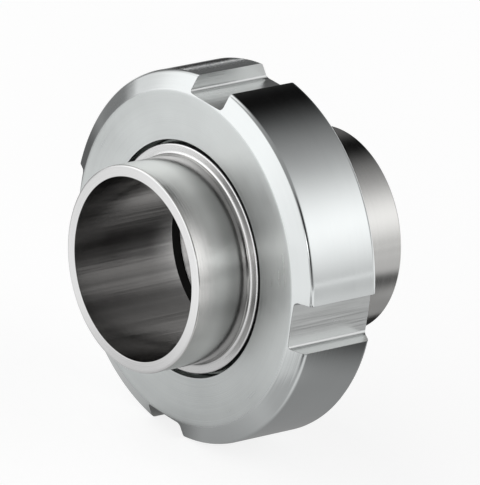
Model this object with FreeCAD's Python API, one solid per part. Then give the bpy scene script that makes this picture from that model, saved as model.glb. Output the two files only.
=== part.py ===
import FreeCAD, Part
import math
import os

from FreeCAD import Vector

# A sanitary pipe union: a welding liner and a threaded male part, clamped on a seal ring by a slotted nut.
# Millimetres. The union's axis is X, the liner's weld end points to -X and the male part's to +X.
# The origin lies on the axis, in the middle of the seal ring's lip. Z is up, and a slot is at the bottom.

# Tube ends
tubeDiameter = 51.0
tubeWall = 2.85

# Slotted nut
nutDiameter = 92.0
nutWidth = 24.5
nutChamferAngle = 27.0
nutFaceDiameter = 82.7
nutLip = 3.9
nutBore = 58.6
slotCount = 4
slotWidth = 12.3
slotFloorDiameter = 83.0
slotRounding = 0.9

# Liner
linerReach = 15.75
shankClearance = 1.0
seatAngle = 45.0
seatClearance = 0.3
collarDiameter = 70.0
collarLand = 2.4
spigotDiameter = 64.0
spigotLength = 2.3

# Seal ring
lipThickness = 2.6
ringThickness = 5.0
ringWidth = 5.15
lipSetback = 0.3
ringClearance = 0.15

# Threaded male part
rimGap = 0.5
recessClearance = 0.3
maleLength = 34.75
threadedLength = 13.9
hubDiameter = 59.0
hubAngle = 30.0

# Round thread, right hand
threadDiameter = 78.0
threadPitch = 25.4 / 6
threadDepth = threadPitch / 2
flankAngle = 15.0
crestBevel = 0.4
bevelOverrun = 0.3
cutterRise = 0.8
threadClearance = 0.25
reliefClearance = 0.4
reliefWidth = 4.5
sectionsPerTurn = 30

# Radii that the sizes above give
tubeRadius = tubeDiameter / 2
boreRadius = tubeRadius - tubeWall
nutRadius = nutDiameter / 2
nutBoreRadius = nutBore / 2
shankRadius = nutBoreRadius - shankClearance
collarRadius = collarDiameter / 2
spigotRadius = spigotDiameter / 2
recessRadius = spigotRadius + recessClearance
ringOuterRadius = recessRadius - ringClearance
ringInnerRadius = ringOuterRadius - ringWidth
tongueRadius = ringInnerRadius - ringClearance
crestRadius = threadDiameter / 2
rootRadius = crestRadius - threadDepth
nutThreadCrest = rootRadius + threadClearance
nutThreadRoot = crestRadius + threadClearance
reliefRadius = nutThreadRoot + reliefClearance

# Stations along the axis, chained from the seal ring outwards
sealFront = -lipThickness / 2
sealLand = lipThickness / 2
grooveFloor = sealFront + ringThickness
collarBack = sealFront - spigotLength
collarFront = collarBack - collarLand
seatSlope = math.tan(math.radians(seatAngle))
shankEnd = collarFront - (collarRadius - shankRadius) / seatSlope
nutSeat = shankEnd + (nutBoreRadius - shankRadius) / seatSlope - seatClearance
nutFront = nutSeat - nutLip
nutBack = nutFront + nutWidth
linerWeldEnd = nutFront - linerReach
seatTopRadius = collarRadius + reliefClearance
nutSeatEnd = nutSeat + (seatTopRadius - nutBoreRadius) / seatSlope
nutThreadStart = nutSeatEnd + reliefWidth
rim = collarBack + rimGap
threadEnd = rim + threadedLength
maleWeldEnd = rim + maleLength
nutChamferLength = (nutRadius - nutFaceDiameter / 2) * math.tan(math.radians(nutChamferAngle))

xAxis = Vector(1, 0, 0)
origin = Vector(0, 0, 0)


def turned(corners):
    """A solid of revolution about X from its section's corners (x, radius)."""
    points = [Vector(x, 0, radius) for x, radius in corners]
    return Part.Face(Part.makePolygon(points + [points[0]])).revolve(origin, xAxis, 360)


def helicalCutter(section, phase, start, end):
    """Carries a groove's section, corners (x, radius), along a right-hand helix that crosses the top at phase."""
    first = math.ceil((start - phase) / threadPitch * sectionsPerTurn)
    last = math.ceil((end - phase) / threadPitch * sectionsPerTurn)
    wires = []
    for i in range(first, last + 1):
        advance = phase + threadPitch * i / sectionsPerTurn
        corners = [Vector(x + advance, 0, radius) for x, radius in section]
        wire = Part.makePolygon(corners + [corners[0]])
        wire.rotate(origin, xAxis, 360 * i / sectionsPerTurn)
        wires.append(wire)
    return Part.makeLoft(wires, True, True)


def grooveSection(mouth, floor):
    """Half a pitch wide at the pitch line, bevelled at the mouth, and risen past it to cut clear."""
    away = math.copysign(1, mouth - floor)
    slope = math.tan(math.radians(flankAngle))
    halfMiddle = (threadPitch / 2 + threadClearance) / 2
    halfDepth = abs(mouth - floor) / 2
    halfFloor = halfMiddle - halfDepth * slope
    halfBevel = halfMiddle + (halfDepth - crestBevel) * slope
    halfOpen = halfBevel + crestBevel + bevelOverrun
    side = [
        (halfFloor, floor),
        (halfBevel, mouth - away * crestBevel),
        (halfOpen, mouth + away * bevelOverrun),
        (halfOpen, mouth + away * cutterRise),
    ]
    return side + [(-x, radius) for x, radius in reversed(side)]


def makeLiner():
    return turned([
        (linerWeldEnd, boreRadius),
        (linerWeldEnd, tubeRadius),
        (nutFront, tubeRadius),
        (nutFront, shankRadius),
        (shankEnd, shankRadius),
        (collarFront, collarRadius),
        (collarBack, collarRadius),
        (collarBack, spigotRadius),
        (sealFront, spigotRadius),
        (sealFront, boreRadius),
    ])


def makeSealRing():
    return turned([
        (sealFront, boreRadius + lipSetback),
        (sealFront, ringOuterRadius),
        (grooveFloor, ringOuterRadius),
        (grooveFloor, ringInnerRadius),
        (sealLand, ringInnerRadius),
        (sealLand, boreRadius + lipSetback),
    ])


def makeMalePart():
    hubRadius = hubDiameter / 2
    hubEnd = threadEnd + (hubRadius - tubeRadius) / math.tan(math.radians(hubAngle))
    body = turned([
        (rim, recessRadius),
        (rim, rootRadius),
        (rim + threadDepth, crestRadius),
        (threadEnd - threadDepth, crestRadius),
        (threadEnd, rootRadius),
        (threadEnd, hubRadius),
        (hubEnd, tubeRadius),
        (maleWeldEnd, tubeRadius),
        (maleWeldEnd, boreRadius),
        (sealLand, boreRadius),
        (sealLand, tongueRadius),
        (grooveFloor, tongueRadius),
        (grooveFloor, recessRadius),
    ])
    groove = grooveSection(crestRadius, rootRadius)
    return body.cut(helicalCutter(groove, rim, rim - threadPitch, threadEnd + threadPitch))


def makeSlot():
    """One spanner slot at the bottom, with rounded floor corners, cut right through the nut."""
    half = slotWidth / 2
    floor = slotFloorDiameter / 2
    box = Part.makeBox(nutWidth * 2, slotWidth, nutRadius, Vector(nutFront - nutWidth / 2, -half, floor))
    floorEdges = []
    for edge in box.Edges:
        ends = [v.Point for v in edge.Vertexes]
        if all(abs(p.z - floor) < 1e-6 for p in ends) and abs(ends[0].y - ends[1].y) < 1e-6:
            floorEdges.append(edge)
    slot = box.makeFillet(slotRounding, floorEdges)
    slot.rotate(origin, xAxis, 180)
    return slot


def makeSlottedNut():
    sag = math.cos(math.pi / sectionsPerTurn)
    faceRadius = nutFaceDiameter / 2
    body = turned([
        (nutFront, nutBoreRadius),
        (nutFront, faceRadius),
        (nutFront + nutChamferLength, nutRadius),
        (nutBack - nutChamferLength, nutRadius),
        (nutBack, faceRadius),
        (nutBack, nutThreadRoot),
        (nutBack - threadDepth, nutThreadCrest),
        (nutThreadStart, nutThreadCrest),
        (nutThreadStart, reliefRadius),
        (nutSeatEnd, reliefRadius),
        (nutSeatEnd, seatTopRadius),
        (nutSeat, nutBoreRadius),
    ])
    for i in range(slotCount):
        slot = makeSlot()
        slot.rotate(origin, xAxis, 360 * i / slotCount)
        body = body.cut(slot)
    groove = grooveSection(nutThreadCrest, nutThreadRoot / sag)
    grooveStart = nutSeatEnd + reliefWidth / 2
    return body.cut(helicalCutter(groove, rim + threadPitch / 2, grooveStart, nutBack + threadPitch))


os.makedirs("parts", exist_ok=True)
pieces = {
    "liner": makeLiner(),
    "slotted_nut": makeSlottedNut(),
    "male_part": makeMalePart(),
    "seal_ring": makeSealRing(),
}
for name, shape in pieces.items():
    shape.exportStep(f"parts/{name}.step")
    size = shape.BoundBox
    print(
        f"{name}: {len(shape.Solids)} solid, valid {shape.isValid()}, {shape.Volume / 1000:.2f} cm3, "
        f"x {size.XMin:.2f} to {size.XMax:.2f}, z {size.ZMin:.2f} to {size.ZMax:.2f}"
    )
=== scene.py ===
import bpy
import math
from mathutils import Matrix, Vector


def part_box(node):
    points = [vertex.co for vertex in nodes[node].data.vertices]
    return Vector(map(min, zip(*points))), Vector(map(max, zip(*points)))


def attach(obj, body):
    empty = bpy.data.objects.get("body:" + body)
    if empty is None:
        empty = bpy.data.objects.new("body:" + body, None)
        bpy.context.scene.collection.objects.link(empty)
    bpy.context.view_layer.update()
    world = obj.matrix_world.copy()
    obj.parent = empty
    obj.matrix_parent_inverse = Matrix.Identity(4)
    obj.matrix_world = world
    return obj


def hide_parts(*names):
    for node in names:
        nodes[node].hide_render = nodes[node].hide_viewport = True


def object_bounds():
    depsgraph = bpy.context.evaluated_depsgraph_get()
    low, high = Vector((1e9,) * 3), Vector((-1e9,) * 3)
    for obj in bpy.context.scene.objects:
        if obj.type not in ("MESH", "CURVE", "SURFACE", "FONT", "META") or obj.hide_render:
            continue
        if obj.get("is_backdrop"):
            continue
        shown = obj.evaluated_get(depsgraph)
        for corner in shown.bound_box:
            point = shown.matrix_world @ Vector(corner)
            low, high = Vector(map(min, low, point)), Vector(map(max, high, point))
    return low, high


# A sanitary pipe union on a pale table. Sizes are in millimetres and turned to metres as the meshes are made.
# The axis is X. Angles round it start at the top (+Z) and grow towards -Y, as the thread's helix does.

mm = 0.001
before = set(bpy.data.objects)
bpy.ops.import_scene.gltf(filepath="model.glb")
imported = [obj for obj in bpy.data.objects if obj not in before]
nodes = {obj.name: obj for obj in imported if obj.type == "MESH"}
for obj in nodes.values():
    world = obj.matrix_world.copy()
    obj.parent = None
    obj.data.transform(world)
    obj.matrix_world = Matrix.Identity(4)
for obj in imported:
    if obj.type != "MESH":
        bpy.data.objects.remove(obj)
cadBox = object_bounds()
print("frame loaded:", sorted(nodes))


def reach(node):  # front and back station of a CAD node, in mm
    low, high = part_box(node)
    return low.x / mm, high.x / mm


linerFront, linerBack = reach("liner")
nutFront, nutBack = reach("slotted_nut")
maleFront, maleBack = reach("male_part")
sealFront, sealBack = reach("seal_ring")

union = {"tubeRadius": 25.5, "boreRadius": 22.65}
turning = {  # facets round the axis, degrees a facet of a rounding spans, share of a side a rounding may take
    "around": 200, "arcStep": 18, "sideShare": 0.4,
}
thread = {  # row is the length of the rows that a thread's stretch is divided into
    "pitch": 25.4 / 6, "crest": 39.0, "depth": 25.4 / 12, "clearance": 0.25, "flankRun": 0.55, "row": 0.14,
    "endMargin": 0.01, "bandMargin": 0.02,
}


# Helpers for node trees: a bench puts nodes down, a wire is one socket that can be used in sums.

class Wire:
    def __init__(self, bench, socket):
        self.bench = bench
        self.socket = socket

    def sum(self, operation, *terms):
        return self.bench.put("ShaderNodeMath", {"operation": operation}, dict(enumerate(terms))).out(0)

    def __add__(self, other):
        return self.sum("ADD", self, other)

    def __radd__(self, other):
        return self.sum("ADD", other, self)

    def __sub__(self, other):
        return self.sum("SUBTRACT", self, other)

    def __rsub__(self, other):
        return self.sum("SUBTRACT", other, self)

    def __mul__(self, other):
        return self.sum("MULTIPLY", self, other)

    def __rmul__(self, other):
        return self.sum("MULTIPLY", other, self)

    def __truediv__(self, other):
        return self.sum("DIVIDE", self, other)

    def __rtruediv__(self, other):
        return self.sum("DIVIDE", other, self)

    def __pow__(self, other):
        return self.sum("POWER", self, other)

    def __lt__(self, other):
        return self.sum("LESS_THAN", self, other)

    def __gt__(self, other):
        return self.sum("GREATER_THAN", self, other)

    def __abs__(self):
        return self.sum("ABSOLUTE", self)

    def __round__(self):
        return self.sum("ROUND", self)


class Put:
    def __init__(self, bench, node):
        self.bench = bench
        self.node = node

    def out(self, key):
        return Wire(self.bench, self.node.outputs[key])


class Bench:
    def __init__(self, tree):
        self.tree = tree

    def put(self, kind, settings=None, values=None):
        node = self.tree.nodes.new(kind)
        for key, value in (settings or {}).items():
            setattr(node, key, value)
        for key, value in (values or {}).items():
            if isinstance(value, Wire):
                self.tree.links.new(value.socket, node.inputs[key])
            else:
                node.inputs[key].default_value = value
        return Put(self, node)

    def vector(self, operation, *terms, out=0):
        return self.put("ShaderNodeVectorMath", {"operation": operation}, dict(enumerate(terms))).out(out)

    def scale(self, vector, factor):
        values = {"Vector": vector, "Scale": factor}
        return self.put("ShaderNodeVectorMath", {"operation": "SCALE"}, values).out(0)

    def split(self, vector):
        node = self.put("ShaderNodeSeparateXYZ", None, {0: vector})
        return node.out(0), node.out(1), node.out(2)

    def join(self, x, y, z):
        return self.put("ShaderNodeCombineXYZ", None, {0: x, 1: y, 2: z}).out(0)

    def noise1(self, place, scale, detail=2.0):
        values = {"W": place, "Scale": scale, "Detail": detail}
        return self.put("ShaderNodeTexNoise", {"noise_dimensions": "1D"}, values).out(0)

    def noise3(self, place, scale, detail=2.0):
        values = {"Vector": place, "Scale": scale, "Detail": detail}
        return self.put("ShaderNodeTexNoise", None, values).out(0)

    def fade(self, value, start, end, low=0.0, high=1.0):
        values = {"Value": value, "From Min": start, "From Max": end, "To Min": low, "To Max": high}
        return self.put("ShaderNodeMapRange", {"interpolation_type": "SMOOTHSTEP"}, values).out(0)

    def mixColour(self, factor, first, second):
        values = {0: factor, 6: first, 7: second}  # 6 and 7 are the colour inputs, and 2 the colour output
        return self.put("ShaderNodeMix", {"data_type": "RGBA"}, values).out(2)


def materialBench(name):
    material = bpy.data.materials.new(name)
    material.use_nodes = True
    material.node_tree.nodes.clear()
    return material, Bench(material.node_tree)


# Steel: fine tool marks run round turned faces and along drawn or milled ones. They tilt the surface across
# the marks, so reflections smear that way, and a coarser set shades the colour and the roughness.
# The liner tube's last entry is painted shade: two stations along the axis and the brightness past the
# second, so the tube darkens towards the shoulder.

steelLooks = {
    "nutFace": dict(colour=(0.785, 0.815, 0.81), rough=0.34, tilt=0.55, marks=8.0, bands=0.05, cloud=0.08),
    "nutRim": dict(colour=(0.745, 0.77, 0.77), rough=0.13, tilt=0.15, marks=4.0, bands=0.04, cloud=0.04),
    # painted dark reflection along the nut's bevelled edges: their colour is set far darker than the nut's
    # other steel
    "nutEdge": dict(colour=(0.42, 0.425, 0.425), rough=0.30, tilt=0.1, marks=4.0, bands=0.05, cloud=0.30),
    "nutSlot": dict(colour=(0.73, 0.745, 0.74), rough=0.31, tilt=0.3, marks=5.0, bands=0.10, cloud=0.08),
    "linerEnd": dict(colour=(0.87, 0.87, 0.87), rough=0.20, tilt=0.25, marks=4.0, bands=0.05, cloud=0.03),
    # painted highlight: the liner's shoulder is coloured brighter than the rest of the liner
    "shoulder": dict(colour=(0.93, 0.93, 0.93), rough=0.28, tilt=0.2, marks=4.0, bands=0.05, cloud=0.03),
    # the liner tube's colour carries painted shade towards the shoulder
    "linerTube": dict(colour=(0.775, 0.77, 0.755), rough=0.19, tilt=0.2, marks=9.0, bands=0.05, cloud=0.08,
                      paintedShade=(-25.5, -20.0, 0.56)),
    # painted shade: the liner shank down in the gap inside the nut is coloured dark
    "gap": dict(colour=(0.20, 0.20, 0.20), rough=0.40, tilt=0.1, marks=4.0, bands=0.05, cloud=0.10),
    "linerInner": dict(colour=(0.66, 0.67, 0.66), rough=0.22, tilt=0.3, marks=4.0, bands=0.08, cloud=0.05),
    # painted shade and reflection: the bore's colour is set dark as painted shade inside the tube, and its
    # strong lengthwise bands are tool marks in part and painted reflection streaks in part
    "bore": dict(colour=(0.42, 0.415, 0.41), rough=0.20, tilt=0.2, marks=2.2, bands=2.2, cloud=0.10),
    "maleTurned": dict(colour=(0.66, 0.665, 0.66), rough=0.20, tilt=0.3, marks=4.0, bands=0.08, cloud=0.05),
    "maleTube": dict(colour=(0.68, 0.675, 0.66), rough=0.18, tilt=0.2, marks=4.0, bands=0.08, cloud=0.06),
}
marksAlong = ("bore", "nutSlot")
toolMarks = {
    "coarseRound": 0.18, "coarseAlong": 0.08, "stretch": 0.012, "fineDetail": 3.0, "cloudScale": 90.0,
    "bandsRough": 0.5, "cloudRough": 0.6,
}


def steel(name):
    look = steelLooks[name]
    material, bench = materialBench(name)
    here = bench.put("ShaderNodeTexCoord")
    place = here.out("Object")
    normal = here.out("Normal")
    x, y, z = bench.split(place)
    if name in marksAlong:
        stretched = bench.vector("MULTIPLY", place, (toolMarks["stretch"] / mm, 1 / mm, 1 / mm))
        coarse = bench.noise3(stretched, look["marks"] * toolMarks["coarseAlong"])
        fine = bench.noise3(stretched, look["marks"], toolMarks["fineDetail"])
        marksWay = (1.0, 0.0, 0.0)
    else:
        facing = abs(bench.split(normal)[0])
        radius = (y * y + z * z) ** 0.5
        across = (x * (1 - facing * facing) ** 0.5 + radius * facing) / mm
        coarse = bench.noise1(across, look["marks"] * toolMarks["coarseRound"])
        fine = bench.noise1(across, look["marks"], toolMarks["fineDetail"])
        marksWay = bench.vector("NORMALIZE", bench.join(0.0, 0.0 - z, y))
    tiltWay = bench.vector("CROSS_PRODUCT", normal, marksWay)
    tilted = bench.vector("ADD", normal, bench.scale(tiltWay, (fine - 0.5) * look["tilt"]))
    tilted = bench.vector("NORMALIZE", tilted)
    toWorld = {"vector_type": "NORMAL", "convert_from": "OBJECT", "convert_to": "WORLD"}
    worldNormal = bench.put("ShaderNodeVectorTransform", toWorld, {0: tilted}).out(0)
    cloud = bench.noise3(place, toolMarks["cloudScale"])
    shade = 1 + (coarse - 0.5) * look["bands"] + (cloud - 0.5) * look["cloud"] * 2
    # painted shade: the colour darkens between the two stations, towards the liner's shoulder
    if "paintedShade" in look:
        start, end, left = look["paintedShade"]
        shade = shade * bench.fade(x / mm, start, end, 1.0, left)
    change = 1 + (coarse - 0.5) * toolMarks["bandsRough"] + (cloud - 0.5) * toolMarks["cloudRough"]
    shader = bench.put("ShaderNodeBsdfPrincipled", None, {
        "Base Color": bench.scale(look["colour"], shade),
        "Metallic": 1.0,
        "Roughness": look["rough"] * change,
        "Normal": worldNormal,
    })
    bench.put("ShaderNodeOutputMaterial", None, {"Surface": shader.out(0)})
    return material


rubberLook = {
    "colour": (0.012, 0.012, 0.012, 1.0), "dust": (0.03, 0.03, 0.028, 1.0), "rough": 0.75, "shine": 0.05,
    "cloudScale": 120.0, "cloudRough": 0.2, "grainScale": 900.0, "grainDetail": 3.0,
    "bump": 0.25, "bumpDepth": 0.0001,
}


def rubber():
    look = rubberLook
    material, bench = materialBench("sealRubber")
    place = bench.put("ShaderNodeTexCoord").out("Object")
    grain = bench.noise3(place, look["grainScale"], look["grainDetail"])
    cloud = bench.noise3(place, look["cloudScale"])
    bump = bench.put("ShaderNodeBump", None, {
        "Strength": look["bump"], "Distance": look["bumpDepth"], "Height": grain,
    })
    shader = bench.put("ShaderNodeBsdfPrincipled", None, {
        "Base Color": bench.mixColour(cloud, look["colour"], look["dust"]),
        "Roughness": look["rough"] + (cloud - 0.5) * look["cloudRough"],
        "Specular IOR Level": look["shine"],
        "Normal": bump.out(0),
    })
    bench.put("ShaderNodeOutputMaterial", None, {"Surface": shader.out(0)})
    return material


finishes = {name: steel(name) for name in steelLooks}
finishes["rubber"] = rubber()
print("materials made:", len(finishes))


# Turned skins: a closed section of corners (x, radius, rounding, finish of the stretch after the corner).
# A finish whose name ends in Thread marks a stretch that a thread is cut into.

def roundedSection(corners):
    # points (x, radius, finish) of the section, with each corner rounded and a thread's stretch in rows
    count = len(corners)
    ends = []
    for i, (x, radius, rounding, _) in enumerate(corners):
        here = Vector((x, radius))
        before = Vector(corners[i - 1][:2]) - here
        after = Vector(corners[(i + 1) % count][:2]) - here
        if not rounding:
            ends.append([here])
            continue
        half = before.angle(after) / 2
        most = turning["sideShare"] * min(before.length, after.length)
        rounding = min(rounding, most * math.tan(half))
        middle = (before.normalized() + after.normalized()).normalized()
        centre = here + middle * (rounding / math.sin(half))
        first = here + before.normalized() * (rounding / math.tan(half)) - centre
        last = here + after.normalized() * (rounding / math.tan(half)) - centre
        swing = first.angle_signed(last)
        steps = max(2, round(abs(swing) / math.radians(turning["arcStep"])))
        ends.append([centre + Matrix.Rotation(-swing * k / steps, 2) @ first for k in range(steps + 1)])
    points = []
    for i, corner in enumerate(corners):
        arc = ends[i]
        half = len(arc) // 2
        points += [(p.x, p.y, corners[i - 1][3] if k < half else corner[3]) for k, p in enumerate(arc)]
        start, stop = arc[-1], ends[(i + 1) % count][0]
        if corner[3].endswith("Thread"):
            rows = math.ceil((stop - start).length / thread["row"])
            points += [(*start.lerp(stop, k / rows), corner[3]) for k in range(1, rows)]
    return points


def turnedSkin(name, corners, edge=()):
    # revolves the section round X as a closed smooth mesh, faces outwards; edge holds the bevels' material,
    # on the nut a dark colour painted along the edges
    around = turning["around"]
    points = roundedSection(corners)
    area = sum(a[0] * b[1] - b[0] * a[1] for a, b in zip(points, points[1:] + points[:1]))
    if area < 0:
        points = [points[0]] + points[:0:-1]
        points = [(x, radius, points[(i + 1) % len(points)][2]) for i, (x, radius, _) in enumerate(points)]
    slots = [*edge, *sorted({finish.replace("Thread", "") for _, _, finish in points} - set(edge))]
    verts = []
    for x, radius, _ in points:
        for k in range(around):
            angle = 2 * math.pi * k / around
            verts.append((x * mm, -radius * math.sin(angle) * mm, radius * math.cos(angle) * mm))
    faces = []
    kinds = []
    for i, point in enumerate(points):
        j = (i + 1) % len(points)
        for k in range(around):
            n = (k + 1) % around
            faces.append((i * around + k, i * around + n, j * around + n, j * around + k))
            kinds.append(slots.index(point[2].replace("Thread", "")))
    mesh = bpy.data.meshes.new(name)
    mesh.from_pydata(verts, [], faces)
    for finish in slots:
        mesh.materials.append(finishes[finish])
    mesh.polygons.foreach_set("material_index", kinds)
    mesh.polygons.foreach_set("use_smooth", [True] * len(faces))
    mesh.update()
    skin = bpy.data.objects.new(name, mesh)
    bpy.context.scene.collection.objects.link(skin)
    return skin


def addNodes(skin, label, build, inputs):
    # a Geometry Nodes modifier on the skin, built by a function, with named inputs
    tree = bpy.data.node_groups.new(label, "GeometryNodeTree")
    tree.interface.new_socket("Geometry", in_out="INPUT", socket_type="NodeSocketGeometry")
    tree.interface.new_socket("Geometry", in_out="OUTPUT", socket_type="NodeSocketGeometry")
    keys = {}
    for key in inputs:
        keys[key] = tree.interface.new_socket(key, in_out="INPUT", socket_type="NodeSocketFloat").identifier
    bench = Bench(tree)
    given = bench.put("NodeGroupInput")
    result = build(bench, given)
    bench.put("NodeGroupOutput", None, {"Geometry": result})
    modifier = skin.modifiers.new(label, "NODES")
    modifier.node_group = tree
    for key, value in inputs.items():
        modifier[keys[key]] = value


def addPlain(skin, kind, settings):
    modifier = skin.modifiers.new(kind.title(), kind)
    for key, value in settings.items():
        setattr(modifier, key, value)


def settled(skin):
    # the skin with even shading over its roundings, and its modifiers worked into a plain mesh
    addPlain(skin, "WEIGHTED_NORMAL", {"weight": 50})
    graph = bpy.context.evaluated_depsgraph_get()
    mesh = bpy.data.meshes.new_from_object(skin.evaluated_get(graph), depsgraph=graph)
    skin.modifiers.clear()
    skin.data = mesh
    mesh.name = skin.name
    print(skin.name, "has", sum(len(p.vertices) - 2 for p in mesh.polygons), "triangles")
    return skin


def threadNodes(inside):
    # moves the rows of a thread's stretch onto the round thread, with the groove's centre on one helix

    def build(bench, given):
        place = bench.put("GeometryNodeInputPosition").out(0)
        x, y, z = bench.split(place)
        radius = (y * y + z * z) ** 0.5
        angle = (0 - y).sum("ARCTAN2", 0 - y, z)
        turns = (x - given.out("Phase")) / given.out("Pitch") - angle / (2 * math.pi)
        away = abs(turns - round(turns)) * given.out("Pitch")
        half = given.out("Pitch") / 4 + given.out("Clearance") / 2
        rise = bench.fade(away, half - given.out("Flank Run"), half + given.out("Flank Run"))
        if inside:
            wanted = given.out("Groove") - rise * given.out("Depth")
            reached = radius.sum("MAXIMUM", radius, wanted)
        else:
            wanted = given.out("Groove") + rise * given.out("Depth")
            reached = radius.sum("MINIMUM", radius, wanted)
        inZone = (x > given.out("Start")) * (x < given.out("End"))
        inBand = (radius > given.out("Low")) * (radius < given.out("High"))
        moved = bench.join(x, y * reached / radius, z * reached / radius)
        values = {"Geometry": given.out("Geometry"), "Selection": inZone * inBand, "Position": moved}
        return bench.put("GeometryNodeSetPosition", None, values).out(0)

    return build


def cutThread(skin, inside, phase, start, end):
    # the nut's groove is cut outwards and the male part's inwards
    outer = thread["crest"] + (thread["clearance"] if inside else 0.0)
    inner = outer - thread["depth"]
    addNodes(skin, "Round thread", threadNodes(inside), {
        "Pitch": thread["pitch"] * mm,
        "Phase": phase * mm,
        "Depth": thread["depth"] * mm,
        "Clearance": thread["clearance"] * mm,
        "Flank Run": thread["flankRun"] * mm,
        "Groove": (outer if inside else inner) * mm,
        "Start": (start - thread["endMargin"]) * mm,
        "End": (end + thread["endMargin"]) * mm,
        "Low": (inner - thread["bandMargin"]) * mm,
        "High": (outer + thread["bandMargin"]) * mm,
    })


# The liner: tube end, shoulder flush with the nut, collar with its 45 degree seat, and the spigot

linerSizes = {
    "shank": 28.3, "shankEnd": -12.7, "collar": 35.0, "collarFront": -6.0, "collarBack": -3.6, "spigot": 32.0,
    "endRound": 0.5, "boreRound": 0.15, "shoulderFillet": 1.5, "shoulderRound": 0.45, "edge": 0.25,
}


def makeLinerSkin():
    s = linerSizes
    bore, tube = union["boreRadius"], union["tubeRadius"]
    return settled(turnedSkin("linerSkin", [
        (linerFront, bore, s["boreRound"], "linerEnd"),
        (linerFront, tube, s["endRound"], "linerTube"),
        (nutFront, tube, s["shoulderFillet"], "shoulder"),
        (nutFront, s["shank"], s["shoulderRound"], "gap"),
        (s["shankEnd"], s["shank"], s["edge"], "linerInner"),
        (s["collarFront"], s["collar"], s["edge"], "linerInner"),
        (s["collarBack"], s["collar"], s["edge"], "linerInner"),
        (s["collarBack"], s["spigot"], s["edge"], "linerInner"),
        (linerBack, s["spigot"], s["edge"], "linerInner"),
        (linerBack, bore, s["boreRound"], "bore"),
    ]))


# The seal ring: a lip between the two bores and a body in the male part's groove

sealSizes = {"inner": 22.95, "outer": 32.15, "body": 27.0, "land": 1.3, "edge": 0.35}


def makeSealSkin():
    s = sealSizes
    return settled(turnedSkin("sealSkin", [
        (sealFront, s["inner"], s["edge"], "rubber"),
        (sealFront, s["outer"], s["edge"], "rubber"),
        (sealBack, s["outer"], s["edge"], "rubber"),
        (sealBack, s["body"], s["edge"], "rubber"),
        (s["land"], s["body"], s["edge"], "rubber"),
        (s["land"], s["inner"], s["edge"], "rubber"),
    ]))


# The male part: recess and ring groove, round thread, hub and tube end

maleSizes = {
    "recess": 32.3, "tongue": 26.85, "land": 1.3, "threadEnd": 10.8, "hub": 29.5, "hubEnd": 17.73,
    "endRound": 0.5, "boreRound": 0.15, "edge": 0.25, "hubFillet": 1.0, "threadRound": 0.1,
}


def makeMaleSkin():
    s = maleSizes
    bore, tube = union["boreRadius"], union["tubeRadius"]
    crest, depth = thread["crest"], thread["depth"]
    root = crest - depth
    skin = turnedSkin("malePartSkin", [
        (maleFront, s["recess"], s["edge"], "maleTurned"),
        (maleFront, root, s["threadRound"], "maleTurnedThread"),
        (maleFront + depth, crest, s["threadRound"], "maleTurnedThread"),
        (s["threadEnd"] - depth, crest, s["threadRound"], "maleTurnedThread"),
        (s["threadEnd"], root, s["threadRound"], "maleTurned"),
        (s["threadEnd"], s["hub"], s["hubFillet"], "maleTurned"),
        (s["hubEnd"], tube, s["hubFillet"], "maleTube"),
        (maleBack, tube, s["endRound"], "linerEnd"),
        (maleBack, bore, s["boreRound"], "bore"),
        (s["land"], bore, s["boreRound"], "maleTurned"),
        (s["land"], s["tongue"], s["edge"], "maleTurned"),
        (sealBack, s["tongue"], s["edge"], "maleTurned"),
        (sealBack, s["recess"], s["edge"], "maleTurned"),
    ])
    cutThread(skin, False, maleFront, maleFront, s["threadEnd"])
    return settled(skin)


# The slotted nut: turned body, four milled spanner slots, bevelled edges coloured dark as a painted
# reflection, and the inner thread

nutSizes = {
    "radius": 46.0, "face": 41.35, "chamfer": 2.37, "bore": 29.3, "seat": -12.0, "seatEnd": -5.9,
    "seatTop": 35.4, "relief": 39.65, "threadStart": -1.4, "soft": 2.0, "rimRound": 1.3,
    "edge": 0.5, "edgeSteps": 3, "edgeAngle": 22,
}
slotSizes = {
    "count": 4, "width": 12.3, "floor": 41.5, "height": 7.0, "rounding": 0.9, "roundingSteps": 6, "past": 3.0,
}


def slotNodes(bench, given):
    # cuts rounded bars out of the nut, evenly round the axis
    middle = given.out("Floor") + given.out("Height") / 2
    outline = bench.put("GeometryNodeCurvePrimitiveQuadrilateral", {"mode": "RECTANGLE"}, {
        "Width": given.out("Width"), "Height": given.out("Height"),
    })
    rounded = bench.put("GeometryNodeFilletCurve", {"mode": "POLY"}, {
        "Curve": outline.out(0), "Radius": given.out("Rounding"), "Count": slotSizes["roundingSteps"],
    })
    path = bench.put("GeometryNodeCurvePrimitiveLine", None, {
        "Start": bench.join(given.out("Front"), 0.0, middle),
        "End": bench.join(given.out("Back"), 0.0, middle),
    })
    cutter = bench.put("GeometryNodeCurveToMesh", None, {
        "Curve": path.out(0), "Profile Curve": rounded.out(0), "Fill Caps": True,
    })
    milled = bench.put("GeometryNodeSetMaterial", None, {
        "Geometry": cutter.out(0), "Material": finishes["nutSlot"],
    })
    points = bench.put("GeometryNodePoints", None, {"Count": slotSizes["count"]})
    turn = bench.put("GeometryNodeInputIndex").out(0) * (2 * math.pi / slotSizes["count"])
    placed = bench.put("GeometryNodeInstanceOnPoints", None, {
        "Points": points.out(0), "Instance": milled.out(0), "Rotation": bench.join(turn, 0.0, 0.0),
    })
    cutters = bench.put("GeometryNodeRealizeInstances", None, {0: placed.out(0)})
    cut = bench.put("GeometryNodeMeshBoolean", {"operation": "DIFFERENCE", "solver": "EXACT"}, {
        "Mesh 1": given.out("Geometry"), "Mesh 2": cutters.out(0),
    })
    return cut.out(0)


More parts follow.
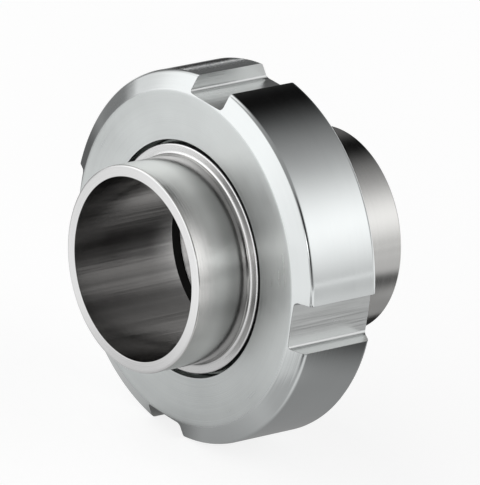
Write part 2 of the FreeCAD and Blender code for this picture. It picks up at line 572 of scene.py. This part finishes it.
def makeNutSkin():
    s = nutSizes
    root = thread["crest"] + thread["clearance"]
    crest = root - thread["depth"]
    face, chamfer = s["face"], s["chamfer"]
    skin = turnedSkin("nutSkin", [
        (nutFront, s["bore"], 0.0, "nutFace"),
        (nutFront, face, s["soft"], "nutRim"),
        (nutFront + chamfer, s["radius"], s["rimRound"], "nutRim"),
        (nutBack - chamfer, s["radius"], s["rimRound"], "nutRim"),
        (nutBack, face, s["soft"], "nutFace"),
        (nutBack, root, 0.0, "nutFaceThread"),
        (nutBack - thread["depth"], crest, 0.0, "nutFaceThread"),
        (s["threadStart"], crest, 0.0, "nutFace"),
        (s["threadStart"], s["relief"], 0.0, "nutFace"),
        (s["seatEnd"], s["relief"], 0.0, "nutFace"),
        (s["seatEnd"], s["seatTop"], 0.0, "nutFace"),
        (s["seat"], s["bore"], 0.0, "nutFace"),
    ], edge=["nutEdge"])
    addNodes(skin, "Spanner slots", slotNodes, {
        "Width": slotSizes["width"] * mm,
        "Height": slotSizes["height"] * mm,
        "Floor": slotSizes["floor"] * mm,
        "Rounding": slotSizes["rounding"] * mm,
        "Front": (nutFront - slotSizes["past"]) * mm,
        "Back": (nutBack + slotSizes["past"]) * mm,
    })
    addPlain(skin, "BEVEL", {
        "width": s["edge"] * mm, "segments": s["edgeSteps"], "limit_method": "ANGLE",
        "angle_limit": math.radians(s["edgeAngle"]), "miter_outer": "MITER_ARC",
        "material": 0,  # the bevels' painted dark edge line comes first in the nut's materials
    })
    cutThread(skin, True, maleFront - thread["pitch"] / 2, s["threadStart"], nutBack)
    return settled(skin)


linerSkin = makeLinerSkin()
sealSkin = makeSealSkin()
maleSkin = makeMaleSkin()
nutSkin = makeNutSkin()
for skin, node, body, finish in (
    (linerSkin, "liner", "liner", "liner_steel"),
    (nutSkin, "slotted_nut", "nut", "nut_steel"),
    (maleSkin, "male_part", "male", "male_steel"),
    (sealSkin, "seal_ring", "male", "seal_rubber"),
):
    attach(skin, body)
    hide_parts(node)
print("pieces made")


# The studio: a pale table in a pale room. Steel shows what stands round it, so the room has soft light panels
# and dark flags, and the table carries painted shade, grey patches that only the steel mirrors.

studio = {
    "room": 0.33, "backdrop": 1.0, "tableSide": 6.0, "tableColour": (0.36, 0.36, 0.36), "tableGrain": 400.0,
    "tableGrainShade": 0.01, "tableGlow": 0.80, "tableMirrored": 1.0,
}

# Panels and flags: azimuth from +Y towards +X, height, width, tall and soft edge in degrees, then the level.
# Later ones cover earlier ones, here and on the table.
roomLights = [
    (-66, 13, 100, 52, 11, 1.22),
    (-106, 10, 44, 34, 14, 1.02),
    (-16, 3, 18, 20, 9, 0.86),
    (-8, 46, 36, 46, 12, 1.16),
    (139, 24, 46, 40, 21, 1.26),
    (-162, 26, 34, 46, 7, 0.02),
    (-141, 4, 22, 16, 8, 0.50),
    (-140.3, 18, 9, 9, 5, 4.0),
    (54, 40, 36, 54, 17, 0.005),
    (30, 5, 36, 40, 12, 0.12),
]
# Painted shade patches that only the steel mirrors: middle x and y, long and short half, all in metres, turn
# in degrees, soft share, level
mirroredShadePatches = [
    (-0.03, 0.01, 0.10, 0.08, 0, 0.8, 0.54),
    (-0.24, -0.34, 0.42, 0.16, 56, 0.7, 0.32),
    (-0.07, -0.095, 0.07, 0.05, 58, 0.7, 0.17),
    (-0.15, -0.20, 0.055, 0.05, 0, 0.6, 0.66),
    (-0.040, -0.047, 0.024, 0.019, 50, 0.5, 0.43),
    (0.48, -0.63, 0.75, 0.30, -53, 0.6, 0.63),
    (0.10, -0.12, 0.20, 0.13, -45, 0.6, 0.64),
    (0.02, -0.035, 0.08, 0.055, -45, 0.7, 0.29),
    (0.062, -0.08, 0.07, 0.04, 10, 0.8, 0.08),
    (0.062, -0.025, 0.03, 0.025, 0, 0.8, 0.34),
    (-0.10, 0.165, 0.06, 0.05, 0, 0.8, 0.50),
    (-0.05, 1.8, 2.0, 0.6, 90, 0.8, 0.25),
    (-0.03, 0.62, 0.62, 0.28, 90, 0.6, 0.23),
    (0.0, 0.18, 0.14, 0.08, 90, 0.7, 0.13),
    (0.52, 0.69, 0.68, 0.13, 53, 0.3, 0.03),
    (0.056, -0.006, 0.018, 0.014, 0, 0.4, 0.02),
    (-0.015, -0.16, 0.06, 0.035, 60, 0.5, 0.06),
    (-0.002, 0.0, 0.03, 0.014, 0, 0.7, 0.12),
]


def laidOver(below, level, mask):
    return (level - below) * mask + below


def panelMask(bench, way, azimuth, height, width, tall, soft):
    # 1 inside a soft-edged panel that is seen in a direction
    a, h = math.radians(azimuth), math.radians(height)
    centre = Vector((math.sin(a) * math.cos(h), math.cos(a) * math.cos(h), math.sin(h)))
    side = Vector((math.cos(a), -math.sin(a), 0.0))
    up = side.cross(centre)
    ahead, sideways, upwards = (bench.vector("DOT_PRODUCT", way, tuple(v), out=1) for v in (centre, side, up))
    yaw = abs(sideways.sum("ARCTAN2", sideways, ahead)) * math.degrees(1)
    pitch = abs(upwards.sum("ARCTAN2", upwards, ahead)) * math.degrees(1)
    inWidth = bench.fade(yaw, width / 2 + soft, width / 2 - soft)
    inHeight = bench.fade(pitch, tall / 2 + soft, tall / 2 - soft)
    return inWidth * inHeight


def makeRoom():
    world = bpy.data.worlds.new("paleRoom")
    world.use_nodes = True
    world.node_tree.nodes.clear()
    bench = Bench(world.node_tree)
    way = bench.put("ShaderNodeTexCoord").out("Generated")
    light = studio["room"]
    for azimuth, height, width, tall, soft, level in roomLights:
        light = laidOver(light, level, panelMask(bench, way, azimuth, height, width, tall, soft))
    seen = bench.put("ShaderNodeLightPath").out("Is Camera Ray")
    tone = laidOver(light, studio["backdrop"], seen)
    air = bench.put("ShaderNodeBackground", None, {"Color": bench.join(tone, tone, tone), "Strength": 1.0})
    bench.put("ShaderNodeOutputWorld", None, {"Surface": air.out(0)})
    bpy.context.scene.world = world


def mirroredShadeTone(bench, place):
    tone = studio["tableMirrored"]
    for x, y, long, short, turn, soft, level in mirroredShadePatches:
        moved = bench.vector("SUBTRACT", place, (x, y, 0.0))
        turned = bench.put("ShaderNodeVectorRotate", {"rotation_type": "Z_AXIS"}, {
            "Vector": moved, "Angle": math.radians(-turn),
        })
        u, v, _ = bench.split(turned.out(0))
        far = ((u / long) ** 2 + (v / short) ** 2) ** 0.5
        tone = laidOver(tone, level, bench.fade(far, 1.0, 1.0 - soft))
    return tone


def makeTable():
    low = min(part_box(node)[0].z for node in nodes)
    side = studio["tableSide"] / 2  # half of the table's side, in metres
    mesh = bpy.data.meshes.new("table")
    corners = [(-side, -side, low), (side, -side, low), (side, side, low), (-side, side, low)]
    mesh.from_pydata(corners, [], [(0, 1, 2, 3)])
    table = bpy.data.objects.new("table", mesh)
    bpy.context.scene.collection.objects.link(table)
    material, bench = materialBench("paleTable")
    place = bench.put("ShaderNodeTexCoord").out("Object")
    grain = 1 + (bench.noise3(place, studio["tableGrain"]) - 0.5) * studio["tableGrainShade"]
    lit = bench.put("ShaderNodeBsdfDiffuse", None, {"Color": bench.scale(studio["tableColour"], grain)})
    path = bench.put("ShaderNodeLightPath")
    seen = path.out("Is Camera Ray")
    for key in ("Is Glossy Ray", "Is Transmission Ray"):
        seen = seen.sum("MAXIMUM", seen, path.out(key))
    shine = seen * studio["tableGlow"]
    glow = bench.put("ShaderNodeEmission", None, {"Color": bench.join(shine, shine, shine), "Strength": 1.0})
    pale = bench.put("ShaderNodeAddShader", None, {0: lit.out(0), 1: glow.out(0)})
    # painted shade that only glossy rays see: the steel mirrors these grey patches in place of the lit table
    tone = mirroredShadeTone(bench, place)
    mirroredShade = bench.put("ShaderNodeEmission", None, {"Color": bench.join(tone, tone, tone), "Strength": 1.0})
    both = bench.put("ShaderNodeMixShader", None, {
        0: path.out("Is Glossy Ray"), 1: pale.out(0), 2: mirroredShade.out(0),
    })
    bench.put("ShaderNodeOutputMaterial", None, {"Surface": both.out(0)})
    mesh.materials.append(material)
    table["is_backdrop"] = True


cameraPlace = {
    "position": (-1.36526, -1.53671, 0.89401), "azimuth": 41.65, "down": 23.465, "roll": 7.832, "lens": 685.5,
    "sensor": 36.0,
}


def makeCamera():
    c = cameraPlace
    a, d, roll = (math.radians(c[key]) for key in ("azimuth", "down", "roll"))
    ahead = Vector((math.sin(a) * math.cos(d), math.cos(a) * math.cos(d), -math.sin(d)))
    level = ahead.cross(Vector((0, 0, 1))).normalized()
    up = level.cross(ahead) * math.cos(roll) - level * math.sin(roll)
    right = ahead.cross(up)
    camera = bpy.data.objects.new("camera", bpy.data.cameras.new("camera"))
    camera.data.lens = c["lens"]
    camera.data.sensor_width = c["sensor"]
    axes = Matrix((right, up, -ahead)).transposed().to_4x4()
    camera.matrix_world = Matrix.Translation(c["position"]) @ axes
    bpy.context.scene.collection.objects.link(camera)
    bpy.context.scene.camera = camera


makeTable()
makeRoom()
makeCamera()
bpy.context.scene.view_settings.view_transform = "Standard"
print("studio made")

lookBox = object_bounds()
{"cad": [list(v) for v in cadBox], "look": [list(v) for v in lookBox]}
print("scene done")
